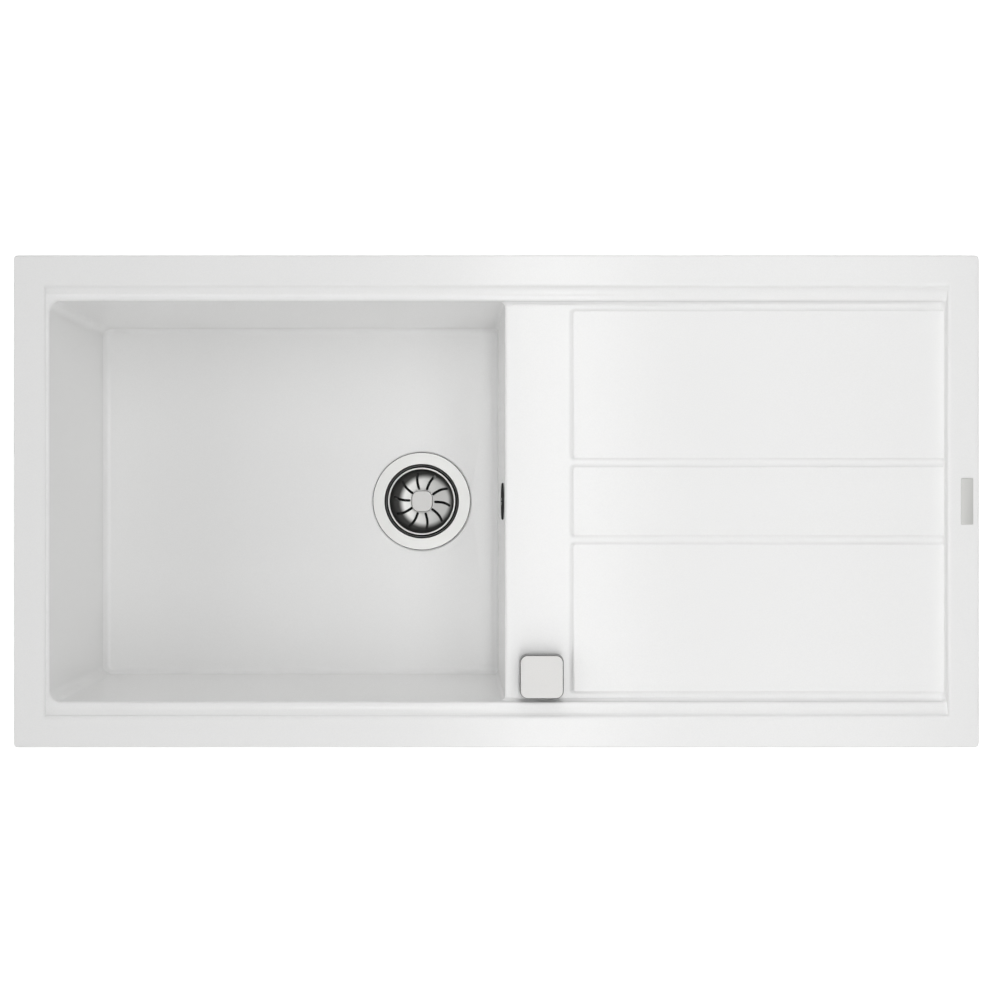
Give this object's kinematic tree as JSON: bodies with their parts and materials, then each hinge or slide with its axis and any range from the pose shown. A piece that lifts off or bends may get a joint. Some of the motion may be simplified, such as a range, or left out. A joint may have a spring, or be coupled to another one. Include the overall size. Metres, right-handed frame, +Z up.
{
  "type": "kitchen sink with drainboard",
  "caption": "Inset kitchen sink in pale composite: one square bowl, a sloped panelled drainboard, basket strainer waste, overflow and waste control knob.",
  "frame": {"origin": "centre of the rim's seat on the worktop, in the plane of the worktop's top face", "axes": "+X along the length towards the drainboard, +Y to the back of the worktop, +Z up out of the worktop"},
  "size_m": [1, 0.51, 0.3243],
  "materials": {
    "composite": "fine-grained moulded composite, satin",
    "foam": "closed-cell foam strip",
    "plate": "satin metal plate, blank",
    "steel": "polished and satin stainless steel",
    "satin_chrome": "satin chrome",
    "fastener": "plain stainless steel",
    "rubber": "black rubber",
    "black_plastic": "black moulded plastic",
    "grey_plastic": "light grey moulded polypropylene",
    "brass": "plain brass",
    "clip_zinc": "zinc-plated steel"
  },
  "bodies": {
    "root": {"sink_body": "composite", "rim_seal": "foam", "rim_plate": "plate", "strainer_flange": "steel", "flange_screws": "fastener", "cover_screws": "fastener", "overflow_screw": "fastener", "clip_screws": "fastener", "flange_gasket": "rubber", "cup_washer": "rubber", "waste_washer": "rubber", "shaft_seal": "rubber", "overflow_gasket": "rubber", "duct_seal": "rubber", "escutcheon_gasket": "rubber", "housing_washer": "rubber", "overflow_grid": "black_plastic", "escutcheon": "black_plastic", "cable_glands": "black_plastic", "waste_body": "grey_plastic", "outlet_tail": "grey_plastic", "overflow_elbow": "grey_plastic", "overflow_duct": "grey_plastic", "knob_housing": "grey_plastic", "housing_cover": "grey_plastic", "clip_inserts": "brass"},
    "knob": {"knob_cap": "satin_chrome", "knob_core": "black_plastic", "spindle": "steel", "cable_drum": "grey_plastic"},
    "cam": {"cam_shaft": "steel", "crank_arm": "grey_plastic", "crank_screw": "fastener"},
    "lifter": {"lift_pin": "steel"},
    "strainer": {"basket": "steel", "basket_knob": "steel", "stopper_stem": "steel", "stopper_seal": "rubber", "seal_nut": "fastener"},
    "claw_1": {"clip_claw_1": "clip_zinc"},
    "claw_2": {"clip_claw_2": "clip_zinc"},
    "claw_3": {"clip_claw_3": "clip_zinc"},
    "claw_4": {"clip_claw_4": "clip_zinc"},
    "claw_5": {"clip_claw_5": "clip_zinc"},
    "claw_6": {"clip_claw_6": "clip_zinc"},
    "claw_7": {"clip_claw_7": "clip_zinc"},
    "claw_8": {"clip_claw_8": "clip_zinc"}
  },
  "joints": [
    {"name": "knob_turn", "type": "hinge", "parent": "root", "child": "knob", "pos_m": [0.047, -0.181, 0.0125], "axis": [0, 0, 1], "range_deg": [0, 90]},
    {"name": "cam_swing", "type": "hinge", "parent": "root", "child": "cam", "pos_m": [-0.06756, 0, -0.2633], "axis": [0, -1, 0], "range_deg": [0, 26]},
    {"name": "pin_lower", "type": "slide", "parent": "root", "child": "lifter", "axis": [0, 0, -1], "range_m": [0, 0.009]},
    {"name": "basket_lift_out", "type": "slide", "parent": "lifter", "child": "strainer", "axis": [0, 0, 1], "range_m": [0, 0.26]},
    {"name": "claw_1_swing", "type": "hinge", "parent": "root", "child": "claw_1", "pos_m": [-0.33, 0.233, -0.046], "axis": [0, 0, 1], "range_deg": [0, 90]},
    {"name": "claw_2_swing", "type": "hinge", "parent": "root", "child": "claw_2", "pos_m": [0, 0.233, -0.046], "axis": [0, 0, 1], "range_deg": [0, 90]},
    {"name": "claw_3_swing", "type": "hinge", "parent": "root", "child": "claw_3", "pos_m": [0.33, 0.233, -0.046], "axis": [0, 0, 1], "range_deg": [0, 90]},
    {"name": "claw_4_swing", "type": "hinge", "parent": "root", "child": "claw_4", "pos_m": [-0.33, -0.233, -0.046], "axis": [0, 0, -1], "range_deg": [0, 90]},
    {"name": "claw_5_swing", "type": "hinge", "parent": "root", "child": "claw_5", "pos_m": [0, -0.233, -0.046], "axis": [0, 0, -1], "range_deg": [0, 90]},
    {"name": "claw_6_swing", "type": "hinge", "parent": "root", "child": "claw_6", "pos_m": [0.33, -0.233, -0.046], "axis": [0, 0, -1], "range_deg": [0, 90]},
    {"name": "claw_7_swing", "type": "hinge", "parent": "root", "child": "claw_7", "pos_m": [-0.48, 0, -0.046], "axis": [0, 0, 1], "range_deg": [0, 90]},
    {"name": "claw_8_swing", "type": "hinge", "parent": "root", "child": "claw_8", "pos_m": [0.48, 0, -0.046], "axis": [0, 0, -1], "range_deg": [0, 90]}
  ],
  "couplings": [
    {"joint": "cam_swing", "follows": "knob_turn", "ratio": 0.28888},
    {"joint": "pin_lower", "follows": "knob_turn", "m_per_rad": 0.0057295}
  ]
}
